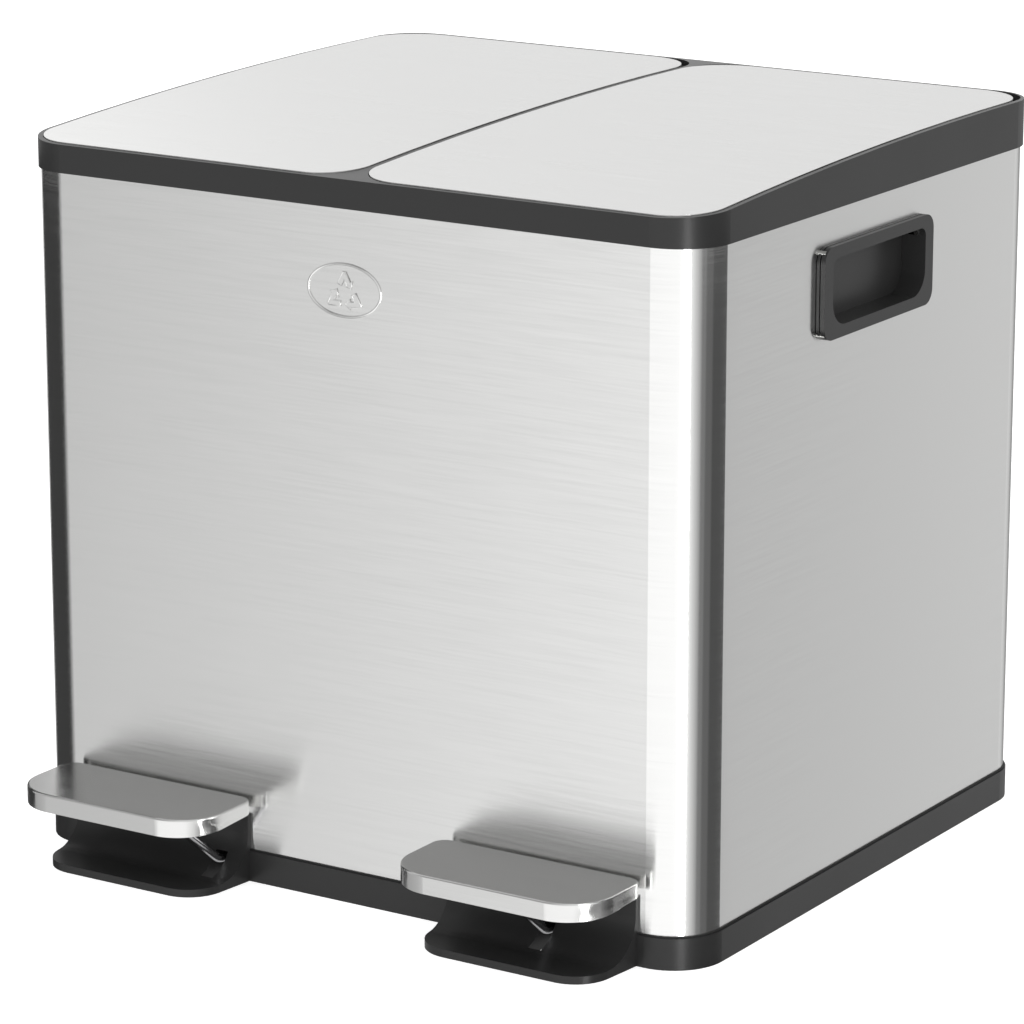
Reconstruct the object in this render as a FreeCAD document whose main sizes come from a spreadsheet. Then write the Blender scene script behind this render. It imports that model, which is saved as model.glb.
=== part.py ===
import FreeCAD, Part
import math
import operator
import os
import Sketcher
from FreeCAD import Placement, Rotation, Vector

# Double recycling bin: a steel box with two arched lids, each opened by its own pedal.
# Frame: origin on the ground in the middle of the box, +X to the right, +Y to the back, +Z up.

os.makedirs("parts", exist_ok=True)
doc = FreeCAD.newDocument("DoubleRecyclingBin")
sheet = doc.addObject("Spreadsheet::Sheet", "Sizes")

DRIVING_SIZES = {
    # steel box
    "body_width": 410, "body_depth": 358, "corner_radius": 27, "steel_wall": 0.8,
    "steel_bottom": 4.3, "steel_overlap": 8.5,
    # trim that holds the box: plinth below, collar above
    "trim_proud": 1.4, "trim_gap": 0.1, "trim_lip": 2, "plinth_height": 16.6, "plinth_floor": 2.5,
    "collar_seam": 365, "arch_rise": 14.98, "arch_peak_inset": 74, "arch_radius": 3950,
    "ledge_rise": 10.5, "ledge_thickness": 3, "aperture_margin": 10, "rod_bay": 41,
    "back_rim": 2.2, "recess_back_corner": 24,
    # lids
    "lid_inset": 3.2, "lid_back_inset": 5.9, "lid_gap": 4.4, "lid_corner": 25, "lid_back_corner": 30,
    "lid_rise": 0.5, "lid_play": 0.4, "skin_thickness": 0.8, "skin_fold": 3.5, "tray_thickness": 2.1, "tray_inset": 1.2,
    "rib_inset": 13, "rib_thickness": 2, "rib_depth": 3, "bumper_radius": 4, "bumper_inset": 30,
    "hinge_inset": 11, "hinge_drop": 4.8, "hinge_side_inset": 40.5, "hinge_pin_diameter": 3,
    "hinge_play": 0.08, "barrel_radius": 3.2, "barrel_length": 10, "hinge_ear": 4, "side_play": 0.3,
    "hinge_post_back": 1.8, "ear_clearance": 2, "rib_back_gap": 34, "lid_travel": 75,
    "lug_radius": 22.26, "lug_wall": 3.3, "lug_thickness": 4, "lug_offset": 8.5, "lug_play": 2.7,
    # pedals
    "pedal_side_inset": 86.5, "pad_width": 121, "pad_reach": 56.5, "pad_gap": 2.8, "pad_rise": 30.2,
    "pad_front_skirt": 9.8, "pad_back_skirt": 7.2, "pad_wall": 1.5, "pad_front_corner": 25,
    "pad_back_corner": 8, "pad_round": 1.2, "core_play": 0.2, "core_height": 6.2, "core_back_gap": 12,
    # pedal levers
    "wire_diameter": 5, "left_lever_offset": 40.5, "right_lever_offset": 6.5, "lever_height": 11.5,
    "elbow_reach": 8.5, "elbow_bend": 12, "grip_reach": 47, "grip_sink": 4.8, "grip_run": 40,
    "grip_bend": 6, "lever_overrun": 6, "pivot_inset": 69, "pivot_rise": 6.5,
    "pivot_pin_diameter": 5, "pivot_play": 0.07, "sleeve_diameter": 9, "sleeve_length": 14,
    "bracket_ear": 2, "bracket_plate": 2, "bracket_width": 26, "bracket_length": 32,
    "bracket_corner": 3, "ear_width": 14, "ear_round": 6.6, "pin_overhang": 1.5,
    "bracket_screw_inset": 4,
    # foot scoops below the pedals
    "scoop_width": 111, "scoop_tip_width": 102, "scoop_reach": 43, "scoop_height": 36.5,
    "scoop_proud": 2.2, "scoop_curve": 22, "scoop_plate": 4.2, "scoop_corner": 20,
    "scoop_overlap": 3.5, "scoop_back": 2.5, "slot_play": 1.25, "slot_reach": 19, "slot_depth": 13,
    # push rods
    "rod_gap": 0.3, "rod_bend": 6, "rod_hook": 16, "shoe_radius": 5, "shoe_cheek_radius": 8,
    "shoe_cheek": 2.5, "shoe_boss_radius": 5, "shoe_boss_height": 20, "clip_radius": 4.5,
    "clip_thickness": 1.2, "clip_inset": 0.5, "hook_slack": 1.8, "hook_slot_back": 10,
    "guide_low": 110, "guide_drop": 35, "guide_radius": 6.5, "guide_length": 8, "guide_play": 0.08,
    "guide_foot": 22, "guide_foot_thickness": 2, "guide_arm": 8,
    # inner buckets and their stand
    "stand_height": 44, "stand_thickness": 2.5, "stand_inset": 3.5, "stand_back_gap": 1,
    "post_radius": 6, "post_side_inset": 15, "post_front_inset": 29, "post_back_inset": 59,
    "bucket_play": 2, "bucket_back_play": 1.5, "bucket_headroom": 4, "bucket_rim": 6,
    "bucket_wall": 1.8, "bucket_taper": 7, "bucket_corner": 24, "rim_thickness": 2,
    "bail_diameter": 3.5, "bail_inset": 13, "bail_bend": 6, "bail_corner": 20, "bail_ear": 4,
    "bail_ear_height": 5.5, "bail_clearance": 0.3, "grip_radius": 5, "grip_length": 70,
    "bail_front_inset": 15.5,
    # carrying handles in the sides
    "handle_width": 115, "handle_height": 47.6, "handle_drop": 41.8, "handle_forward": 4.5,
    "handle_proud": 4, "handle_corner": 8, "bezel_thickness": 2.6, "groove_depth": 1.6,
    "back_flange": 0.8, "pocket_width": 98, "pocket_height": 35, "pocket_depth": 14,
    "pocket_wall": 1.8, "pocket_top_corner": 5, "pocket_low_corner": 13, "clamp_margin": 4,
    "clamp_thickness": 2, "handle_screw_inset": 3.3, "handle_screw_drop": 3,
    # fasteners
    "screw_radius": 1.5, "screw_head": 2.8, "screw_head_height": 1.5, "screw_grip": 3,
    "floor_screw_length": 12,
    # oval mark pressed in the front
    "mark_drop": 41.7, "mark_width": 45, "mark_tall": 28, "mark_line": 1.1, "mark_relief": 0.5,
    "arrow_circle": 10, "arrow_band": 2.6, "arrow_head": 5.4, "arrow_drop": 1.8,
}


class Size:
    """A length of the sheet, or one worked out from them, with its expression."""

    def __init__(self, value, text):
        self.value = value
        self.text = text

    def join(self, other, sign, work, swapped=False):
        first, second = self, as_size(other)
        if swapped:
            first, second = second, first
        return Size(work(first.value, second.value), f"({first.text} {sign} {second.text})")

    def __add__(self, other):
        return self.join(other, "+", operator.add)

    def __radd__(self, other):
        return self.join(other, "+", operator.add, swapped=True)

    def __sub__(self, other):
        return self.join(other, "-", operator.sub)

    def __rsub__(self, other):
        return self.join(other, "-", operator.sub, swapped=True)

    def __mul__(self, other):
        return self.join(other, "*", operator.mul)

    def __rmul__(self, other):
        return self.join(other, "*", operator.mul, swapped=True)

    def __truediv__(self, other):
        return self.join(other, "/", operator.truediv)

    def __neg__(self):
        return self.join(-1, "*", operator.mul)


def as_size(number):
    if isinstance(number, Size):
        return number
    return Size(number, f"({number})")


def cosine(angle):
    return Size(math.cos(math.radians(angle.value)), f"cos({angle.text} * 1 deg)")


def sine(angle):
    return Size(math.sin(math.radians(angle.value)), f"sin({angle.text} * 1 deg)")


def root(area):
    return Size(math.sqrt(area.value), f"sqrt({area.text})")


s = {}
for row, (alias, number) in enumerate(DRIVING_SIZES.items(), start=1):
    sheet.set(f"A{row}", alias)
    sheet.set(f"B{row}", str(number))
    sheet.setAlias(f"B{row}", alias)
    s[alias] = Size(number, f"Sizes.{alias}")
doc.recompute()

# ---------------------------------------------------------------- sizes worked out once

half_width = s["body_width"] / 2
half_depth = s["body_depth"] / 2
front = -half_depth
inner_back = half_depth - s["steel_wall"]
trim_x = half_width + s["trim_proud"]
trim_y = half_depth + s["trim_proud"]
trim_corner = s["corner_radius"] + s["trim_proud"]
steel_top = s["collar_seam"] + s["steel_overlap"]
ledge_top = s["collar_seam"] + s["ledge_rise"]
under_ledge = ledge_top - s["ledge_thickness"]
arch_run = trim_y + half_depth - s["arch_peak_inset"]
arch_fall = s["arch_radius"] - root(s["arch_radius"] * s["arch_radius"] - arch_run * arch_run)
arch_peak_height = s["collar_seam"] + s["arch_rise"] + arch_fall  # arch_rise is at the front
lid_near = s["lid_gap"] / 2
lid_far = trim_x - s["lid_inset"]
lid_front = s["lid_inset"] - trim_y
lid_back = trim_y - s["lid_back_inset"]
lid_centre = (lid_near + lid_far) / 2
aperture_near = lid_near + s["aperture_margin"]
aperture_far = lid_far - s["aperture_margin"]
aperture_front = lid_front + s["aperture_margin"]
aperture_back = half_depth - s["rod_bay"]
hinge_back = half_depth - s["hinge_inset"]
hinge_height = arch_peak_height - s["hinge_drop"]
hinge_offset = (lid_far - lid_near) / 2 - s["hinge_side_inset"]
half_travel = s["lid_travel"] / 2
rod_back = hinge_back - s["lug_radius"] * (1 + cosine(half_travel)) / 2
lug_back = hinge_back - s["lug_radius"] * cosine(half_travel)
lug_height = hinge_height - s["lug_radius"] * sine(half_travel)
wire_radius = s["wire_diameter"] / 2
pedal_centre = half_width - s["pedal_side_inset"]
pad_top = s["plinth_height"] + s["pad_rise"]
pivot_back = s["pivot_inset"] - half_depth
pivot_height = s["lever_height"] + s["pivot_rise"]
lever_x = {-1: s["left_lever_offset"] - pedal_centre, 1: pedal_centre + s["right_lever_offset"]}
stand_top = s["stand_height"] + s["stand_thickness"]
bucket_top = under_ledge - s["bucket_headroom"]
handle_centre = s["collar_seam"] - s["handle_drop"]
mark_height = s["collar_seam"] - s["mark_drop"]
SIDE_NAMES = {-1: "left", 1: "right"}
SKIN_TOP = s["lid_rise"]
SKIN_UNDER = SKIN_TOP - s["skin_thickness"]
TRAY_UNDER = SKIN_UNDER - s["tray_thickness"]

OVERCUT = 2  # how far a cutting tool passes the face it starts from
OVERLAP = 1  # how far two pieces that are fused run into each other
DEPTH = 30  # tools that pass right through a panel or a lid


# ---------------------------------------------------------------- ways to make shapes

nodes = {}


def keep(label, thing):
    """Names a finished piece."""
    thing.Label = label
    nodes[label] = thing
    return thing


def place(thing, x, y, z, rotation=None):
    thing.Placement = Placement(Vector(), rotation or Rotation())
    for axis, size in zip("xyz", (x, y, z)):
        thing.setExpression(f"Placement.Base.{axis}", as_size(size).text)
    return thing


def box(x_range, y_range, z_range):
    """A block between two values on each axis, given in any order."""
    spans = []
    for span in (x_range, y_range, z_range):
        spans.append(sorted((as_size(end) for end in span), key=lambda end: end.value))
    block = doc.addObject("Part::Box", "Block")
    for name, (low, high) in zip(("Length", "Width", "Height"), spans):
        block.setExpression(name, (high - low).text)
    return place(block, *(low for low, high in spans))


TURN = {"x": Rotation(Vector(0, 1, 0), 90), "y": Rotation(Vector(1, 0, 0), -90), "z": Rotation()}


def rod(axis, radius, start, length):
    """A cylinder along +X, +Y or +Z from its start point."""
    cylinder = doc.addObject("Part::Cylinder", "Round")
    cylinder.setExpression("Radius", as_size(radius).text)
    cylinder.setExpression("Height", as_size(length).text)
    return place(cylinder, *start, TURN[axis])


def bore(axis, radius, start, length):
    """A round tool that passes both ends of the piece it goes through."""
    longer = tuple(part - OVERCUT if name == axis else part for name, part in zip("xyz", start))
    return rod(axis, radius, longer, length + 2 * OVERCUT)


def fuse(*things):
    joined = doc.addObject("Part::MultiFuse", "Joined")
    joined.Shapes = list(things)
    joined.Refine = True
    return joined


def cut(thing, *tools):
    tool = tools[0] if len(tools) == 1 else fuse(*tools)
    trimmed = doc.addObject("Part::Cut", "Trimmed")
    trimmed.Base = thing
    trimmed.Tool = tool
    trimmed.Refine = True
    return trimmed


def common(*things):
    shared = doc.addObject("Part::MultiCommon", "Shared")
    shared.Shapes = list(things)
    return shared


def group(*things):
    """Separate solids kept as one node, as for a set of screws."""
    bunch = doc.addObject("Part::Compound", "Group")
    bunch.Links = list(things)
    return bunch


def constrain(sketch, kind, places, size):
    """A dimension of a sketch, tied to its expression."""
    index = sketch.addConstraint(Sketcher.Constraint(kind, *places, size.value))
    sketch.renameConstraint(index, f"size{index}")
    sketch.setExpression(f"Constraints.size{index}", size.text)


def pin_point(sketch, line, end, x, y):
    """Holds one end of a line at a place measured from the sketch's origin."""
    for kind, size, axis in (("DistanceX", x, -2), ("DistanceY", y, -1)):
        if abs(size.value) < 1e-9:
            sketch.addConstraint(Sketcher.Constraint("PointOnObject", line, end, axis))
        else:
            constrain(sketch, kind, (-1, 1, line, end), size)


def draw_polygon(sketch, points):
    points = [(as_size(x), as_size(y)) for x, y in points]
    start = sketch.GeometryCount
    places = [Vector(x.value, y.value, 0) for x, y in points]
    for here, there in zip(places, places[1:] + places[:1]):
        sketch.addGeometry(Part.LineSegment(here, there))
    for index, (x, y) in enumerate(points):
        following = start + (index + 1) % len(points)
        sketch.addConstraint(Sketcher.Constraint("Coincident", start + index, 2, following, 1))
        pin_point(sketch, start + index, 1, x, y)


def draw_circle(sketch, x, y, radius):
    index = sketch.GeometryCount
    sketch.addGeometry(Part.Circle(Vector(x.value, y.value, 0), Vector(0, 0, 1), radius.value))
    constrain(sketch, "Radius", (index,), radius)
    pin_point(sketch, index, 3, x, y)


def draw_rounded_rectangle(sketch, x_range, y_range, low_corner, high_corner=None):
    """Corners on the low-Y side and on the high-Y side may differ."""
    x0, x1 = sorted((as_size(x) for x in x_range), key=lambda end: end.value)
    y0, y1 = sorted((as_size(y) for y in y_range), key=lambda end: end.value)
    low_corner = as_size(low_corner)
    high_corner = as_size(high_corner or low_corner)
    first = sketch.GeometryCount
    low, high = low_corner.value, high_corner.value
    left, right, bottom, top = x0.value, x1.value, y0.value, y1.value
    corners = [
        (right - low, bottom + low, low, 270),
        (right - high, top - high, high, 0),
        (left + high, top - high, high, 90),
        (left + low, bottom + low, low, 180),
    ]
    sides = [
        ((left + low, bottom), (right - low, bottom)),
        ((right, bottom + low), (right, top - high)),
        ((right - high, top), (left + high, top)),
        ((left, top - high), (left, bottom + low)),
    ]
    for (here, there), (centre_x, centre_y, radius, begin) in zip(sides, corners):
        sketch.addGeometry(Part.LineSegment(Vector(*here, 0), Vector(*there, 0)))
        circle = Part.Circle(Vector(centre_x, centre_y, 0), Vector(0, 0, 1), radius)
        angles = math.radians(begin), math.radians(begin + 90)
        sketch.addGeometry(Part.ArcOfCircle(circle, *angles))
    for index in range(8):
        following = first + (index + 1) % 8
        sketch.addConstraint(Sketcher.Constraint("Tangent", first + index, 2, following, 1))
    for index, kind in ((0, "Horizontal"), (2, "Vertical"), (4, "Horizontal"), (6, "Vertical")):
        sketch.addConstraint(Sketcher.Constraint(kind, first + index))
    for index, size in ((1, low_corner), (3, high_corner), (5, high_corner), (7, low_corner)):
        constrain(sketch, "Radius", (first + index,), size)
    constrain(sketch, "DistanceX", (-1, 1, first + 6, 1), x0)
    constrain(sketch, "DistanceX", (-1, 1, first + 2, 1), x1)
    constrain(sketch, "DistanceY", (-1, 1, first, 1), y0)
    constrain(sketch, "DistanceY", (-1, 1, first + 4, 1), y1)


def prism(x_range, y_range, z_range, corner, back_corner=None):
    """An upright block with rounded vertical edges."""
    low, high = as_size(z_range[0]), as_size(z_range[1])
    outline = doc.addObject("Sketcher::SketchObject", "Outline")
    draw_rounded_rectangle(outline, x_range, y_range, corner, back_corner)
    outline.setExpression("Placement.Base.z", low.text)
    block = doc.addObject("Part::Extrusion", "Prism")
    block.Base = outline
    block.DirMode = "Custom"
    block.Dir = Vector(0, 0, 1)
    block.Solid = True
    block.setExpression("LengthFwd", (high - low).text)
    return block


def under_arch(offset):
    """Everything below the arched top, moved up by an offset."""
    start = (-s["body_width"], half_depth - s["arch_peak_inset"], arch_peak_height - s["arch_radius"])
    return rod("x", s["arch_radius"] + offset, start, s["body_width"] * 2)


def bent_wire(points, bends, diameter):
    """A round wire along straight runs joined by tangent arcs, from the sheet's values."""
    corners = [Vector(*(as_size(part).value for part in point)) for point in points]
    edges = []
    start = corners[0]
    for before, corner, after, bend in zip(corners, corners[1:], corners[2:], bends):
        incoming = (corner - before).normalize()
        outgoing = (after - corner).normalize()
        turn = incoming.getAngle(outgoing)
        reach = bend.value * math.tan(turn / 2)
        arc_start = corner - incoming * reach
        arc_end = corner + outgoing * reach
        inward = (outgoing - incoming).normalize()
        centre = corner + inward * (bend.value / math.cos(turn / 2))
        arc_middle = centre - inward * bend.value
        edges.append(Part.makeLine(start, arc_start))
        edges.append(Part.Arc(arc_start, arc_middle, arc_end).toShape())
        start = arc_end
    edges.append(Part.makeLine(start, corners[-1]))
    path = Part.Wire(edges)
    direction = (corners[1] - corners[0]).normalize()
    section = Part.Wire(Part.makeCircle(diameter.value / 2, corners[0], direction))
    swept = path.makePipeShell([section], True, True)
    expected = math.pi * diameter.value ** 2 / 4 * path.Length
    if abs(swept.Volume / expected - 1) > 0.01:
        raise ValueError("a wire's volume differs from its section times its length")
    wire = doc.addObject("Part::Feature", "Wire")
    wire.Shape = swept
    return wire


def new_body(label):
    body = doc.addObject("PartDesign::Body", label)
    nodes[label] = body
    body.Label = label
    return body


def sketch_on(body, role, height=0):
    """A sketch on one of the body's own origin planes, moved along its normal."""
    sketch = body.newObject("Sketcher::SketchObject", "Sketch")
    plane = next(item for item in body.Origin.OriginFeatures if item.Role == role)
    sketch.AttachmentSupport = (plane, "")
    sketch.MapMode = "FlatFace"
    sketch.setExpression("AttachmentOffset.Base.z", as_size(height).text)
    return sketch


def pad(body, sketch, length):
    feature = body.newObject("PartDesign::Pad", "Pad")
    feature.Profile = sketch
    feature.setExpression("Length", as_size(length).text)
    doc.recompute()
    return feature


def pocket(body, sketch, length, upwards=False, both_ways=False):
    """Cuts against the sketch's normal, along it, or both ways, and must remove something."""
    before = body.Shape.Volume
    feature = body.newObject("PartDesign::Pocket", "Pocket")
    feature.Profile = sketch
    feature.Reversed = upwards
    feature.Midplane = both_ways
    feature.setExpression("Length", as_size(length).text)
    doc.recompute()
    if body.Shape.Volume >= before - 1e-6:
        raise ValueError(f"a pocket of {body.Label} removes nothing")
    return feature


def fillet(body, radius, wanted):
    """Rounds the edges of the body's last feature that pass a test."""
    base = body.Tip
    names = [f"Edge{i}" for i, edge in enumerate(base.Shape.Edges, start=1) if wanted(edge)]
    feature = body.newObject("PartDesign::Fillet", "Fillet")
    feature.Base = (base, names)
    feature.setExpression("Radius", radius.text)
    doc.recompute()
    return feature


def loft(body, kind, sketches):
    feature = body.newObject(kind, "Loft")
    feature.Profile = sketches[0]
    feature.Sections = sketches[1:]
    doc.recompute()
    return feature


def edge_at_height(height):
    return lambda edge: all(abs(v.Z - height.value) < 1e-4 for v in edge.Vertexes)


def screw(axis, head_start, shank_start, length):
    """A pan-head screw, each part given by the lower of its two ends."""
    head = rod(axis, s["screw_head"], head_start, s["screw_head_height"])
    shank = rod(axis, s["screw_radius"], shank_start, length)
    return fuse(head, shank)


def mirror_x(side, *values):
    """X values of the right-hand side, turned over for the left."""
    return tuple(as_size(value) * side for value in values)


# ---------------------------------------------------------------- steel box


def arrow_outline(turn):
    """One bent arrow that follows two sides of a triangle round the corner between them."""
    corner_distance = s["arrow_circle"].value
    band, head = s["arrow_band"].value / 2, s["arrow_head"].value / 2
    side_length = corner_distance * math.sqrt(3)
    nose = -band * 0.6
    tail = side_length * 0.35
    neck = side_length * 0.3
    tip = neck + head * 1.1
    corner = Vector(0, corner_distance, 0)
    forward = Rotation(Vector(0, 0, 1), -60).multVec(Vector(1, 0, 0))
    backward = Vector(-forward.x, forward.y, 0)
    right = Vector(-forward.y, forward.x, 0)
    left = Vector(-right.x, right.y, 0)
    points = [
        corner + backward * tail + left * band,
        corner + backward * nose + left * band,
        corner + forward * nose + right * band,
        corner + forward * neck + right * band,
        corner + forward * neck + right * head,
        corner + forward * tip,
        corner + forward * neck - right * head,
        corner + forward * neck - right * band,
        corner - Vector(0, 2 * band, 0),
        corner + backward * tail - left * band,
    ]
    spin = Rotation(Vector(0, 0, 1), turn)
    return [spin.multVec(point) for point in points]


def pressed_mark():
    """Raised oval line with three bent arrows inside it, standing out of the front panel."""
    depth = s["steel_wall"] / 2
    start = front + depth
    facing = Rotation(Vector(1, 0, 0), 90)
    ovals = []
    for inset in (as_size(0), s["mark_line"]):
        oval = doc.addObject("Part::Ellipse", "Oval")
        oval.setExpression("MajorRadius", (s["mark_width"] / 2 - inset).text)
        oval.setExpression("MinorRadius", (s["mark_tall"] / 2 - inset).text)
        place(oval, 0, start, mark_height, facing)
        plate = doc.addObject("Part::Extrusion", "OvalPlate")
        plate.Base = oval
        plate.DirMode = "Custom"
        plate.Dir = Vector(0, -1, 0)
        plate.Solid = True
        plate.setExpression("LengthFwd", (depth + s["mark_relief"]).text)
        ovals.append(plate)
    pieces = [cut(*ovals)]
    for turn in (0, 120, 240):
        corners = arrow_outline(turn)
        wire = Part.makePolygon(corners + corners[:1])
        arrow = doc.addObject("Part::Feature", "Arrow")
        thickness = (depth + s["mark_relief"]).value
        arrow.Shape = Part.Face(wire).extrude(Vector(0, 0, thickness))
        pieces.append(place(arrow, 0, start, mark_height - s["arrow_drop"], facing))
    return pieces


def steel_box():
    wall = s["steel_wall"]
    span = (s["steel_bottom"], steel_top)
    inside = (s["steel_bottom"] - OVERCUT, steel_top + OVERCUT)
    shell = prism((-half_width, half_width), (-half_depth, half_depth), span, s["corner_radius"])
    hollow = prism((wall - half_width, half_width - wall), (wall - half_depth, half_depth - wall),
                   inside, s["corner_radius"] - wall)
    tools = [hollow]
    for side in (-1, 1):
        tools.append(handle_block(side, pocket_outer_x, pocket_outer_z, s["pocket_low_corner"]))
        tools += handle_screw_rods(side, s["screw_radius"])
        notch = s["scoop_width"] / 2 - s["scoop_overlap"]
        centre = pedal_centre * side
        tools.append(box((centre - notch, centre + notch), (front - OVERCUT, front + wall + OVERCUT),
                         (0, s["scoop_height"] - s["scoop_overlap"])))
    keep("body_shell", fuse(cut(shell, *tools), *pressed_mark()))


# ---------------------------------------------------------------- plinth with its foot scoops

post_side = half_width - s["post_side_inset"]
post_places = [(x, y) for x in (-post_side, as_size(0), post_side)
               for y in (s["post_front_inset"] - half_depth, half_depth - s["post_back_inset"])]
bracket_screw_x = s["bracket_width"] / 2 - s["bracket_screw_inset"]
bracket_screw_y = s["bracket_length"] / 2 - s["bracket_screw_inset"]
bracket_screw_places = {
    side: [(lever_x[side] + bracket_screw_x * hand, pivot_back + bracket_screw_y * hand)
           for hand in (-1, 1)]
    for side in (-1, 1)
}


def scoop(side):
    """Curved foot guard: a plate on the ground that sweeps up to a wall behind the pedal."""
    centre = pedal_centre * side
    reach = front - s["scoop_reach"]
    wall_face = front - s["scoop_proud"]
    curve_y = wall_face - s["scoop_curve"]
    curve_z = s["scoop_plate"] + s["scoop_curve"]
    rear = front - s["trim_gap"]
    plan = new_body(f"scoop_plan_{SIDE_NAMES[side]}")
    del nodes[plan.Label]
    outline = sketch_on(plan, "XY_Plane")
    half, tip = s["scoop_width"] / 2, s["scoop_tip_width"] / 2
    draw_polygon(outline, [(centre - tip, reach), (centre + tip, reach),
                           (centre + half, rear), (centre - half, rear)])
    pad(plan, outline, s["scoop_height"])
    fillet(plan, s["scoop_corner"],
           lambda edge: all(abs(v.Y - reach.value) < 1e-4 for v in edge.Vertexes)
           and abs(edge.tangentAt(edge.FirstParameter).z) > 0.9)
    width = (centre - half - OVERCUT, centre + half + OVERCUT)
    above = s["scoop_height"] + OVERCUT
    shape = cut(plan,
                box(width, (reach - OVERCUT, curve_y), (s["scoop_plate"], above)),
                box(width, (curve_y - OVERCUT, wall_face), (curve_z, above)),
                rod("x", s["scoop_curve"], (width[0], curve_y, curve_z), width[1] - width[0]))
    inner_half = half - s["scoop_overlap"] - s["side_play"]
    back = box((centre - inner_half, centre + inner_half),
               (rear - s["scoop_proud"] / 2, front + s["scoop_back"]),
               (0, s["scoop_height"] - s["scoop_overlap"] - s["side_play"]))
    return [shape, back]


def plinth():
    gap, lip = s["trim_gap"], s["trim_lip"]
    wall = s["steel_wall"]
    inner = wall + gap
    height = (0, s["plinth_height"])
    ring = prism((-trim_x, trim_x), (-trim_y, trim_y), height, trim_corner)
    channel_span = (s["steel_bottom"] - s["side_play"], s["plinth_height"] + OVERCUT)
    channel = cut(
        prism((-half_width - gap, half_width + gap), (-half_depth - gap, half_depth + gap),
              channel_span, s["corner_radius"] + gap),
        prism((inner - half_width, half_width - inner), (inner - half_depth, half_depth - inner),
              channel_span, s["corner_radius"] - inner))
    hollow_inset = inner + lip
    hollow = prism((hollow_inset - half_width, half_width - hollow_inset),
                   (hollow_inset - half_depth, half_depth - hollow_inset),
                   (s["plinth_floor"], s["plinth_height"] + OVERCUT), s["corner_radius"] - hollow_inset)
    pieces = [cut(ring, channel, hollow)]
    for side in (-1, 1):
        pieces += scoop(side)
    for x, y in post_places:
        pieces.append(rod("z", s["post_radius"], (x, y, 0), s["stand_height"]))
    tools = []
    for side in (-1, 1):
        slot = wire_radius + s["slot_play"]
        x = lever_x[side]
        tools.append(box((x - slot, x + slot), (front - s["slot_reach"], front + s["slot_depth"]),
                         (-OVERCUT, s["lever_height"] + wire_radius + s["slot_play"])))
        for screw_x, screw_y in bracket_screw_places[side]:
            tools.append(bore("z", s["screw_radius"], (screw_x, screw_y, 0), s["plinth_floor"]))
    for x, y in post_places:
        depth = s["floor_screw_length"] - s["stand_thickness"]
        tools.append(rod("z", s["screw_radius"], (x, y, s["stand_height"] - depth), depth + OVERCUT))
    keep("base_plinth", cut(fuse(*pieces), *tools))


# ---------------------------------------------------------------- collar


def lid_outline(side, inset, z_range, back_inset=None, back_corner=None):
    """The outline of one lid, drawn in by an inset (drawn out where it is negative)."""
    back_inset = inset if back_inset is None else back_inset
    back_corner = s["lid_back_corner"] - inset if back_corner is None else back_corner
    x_range = mirror_x(side, lid_near + inset, lid_far - inset)
    return prism(x_range, (lid_front + inset, lid_back - back_inset), z_range,
                 s["lid_corner"] - inset, back_corner)


def collar():
    gap, lip, wall = s["trim_gap"], s["trim_lip"], s["steel_wall"]
    inner = wall + gap
    above = arch_peak_height + 2 * OVERCUT
    block = common(prism((-trim_x, trim_x), (-trim_y, trim_y), (s["collar_seam"], above), trim_corner),
                   under_arch(0))
    channel_top = steel_top + s["side_play"]
    below = s["collar_seam"] - OVERCUT
    channel = cut(
        prism((-half_width - gap, half_width + gap), (-half_depth - gap, half_depth + gap),
              (below, channel_top), s["corner_radius"] + gap),
        prism((inner - half_width, half_width - inner), (inner - half_depth, half_depth - inner),
              (below, channel_top), s["corner_radius"] - inner))
    hollow_inset = inner + lip
    hollow = prism((hollow_inset - half_width, half_width - hollow_inset),
                   (hollow_inset - half_depth, half_depth - hollow_inset), (below, under_ledge),
                   s["corner_radius"] - hollow_inset)
    tools = [channel, hollow]
    recess_back = lid_back - (trim_y - s["back_rim"])
    for side in (-1, 1):
        tools.append(lid_outline(side, -s["lid_play"], (ledge_top, above), recess_back,
                                 s["recess_back_corner"]))
        tools.append(prism(mirror_x(side, aperture_near, aperture_far),
                           (aperture_front, aperture_back), (below, above),
                           s["lid_corner"] - s["aperture_margin"] / 2))
        hook_start = lever_x[side] - wire_radius - s["hook_slack"]
        hook_end = lever_x[side] + s["rod_hook"] + s["hook_slack"]
        tools.append(box((hook_start, hook_end),
                         (aperture_back - OVERCUT, lug_back + s["hook_slot_back"]),
                         (below, ledge_top + OVERCUT)))
    posts = []
    bores = []
    for side in (-1, 1):
        for hand in (-1, 1):
            centre = lid_centre * side + hinge_offset * hand
            for ear in (-1, 1):
                inner_face = centre + (s["barrel_length"] / 2 + s["side_play"]) * ear
                outer_face = inner_face + s["hinge_ear"] * ear
                posts.append(box((inner_face, outer_face),
                                 (hinge_back - s["barrel_radius"],
                                  hinge_back + s["hinge_post_back"]),
                                 (under_ledge, hinge_height)))
                low = inner_face if ear > 0 else outer_face
                posts.append(rod("x", s["barrel_radius"],
                                 (low, hinge_back, hinge_height), s["hinge_ear"]))
            half = s["barrel_length"] / 2 + s["side_play"] + s["hinge_ear"]
            bores.append(bore("x", s["hinge_pin_diameter"] / 2,
                              (centre - half, hinge_back, hinge_height), half * 2))
    keep("top_collar", cut(fuse(cut(block, *tools), *posts), *bores))


# ---------------------------------------------------------------- lids


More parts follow.
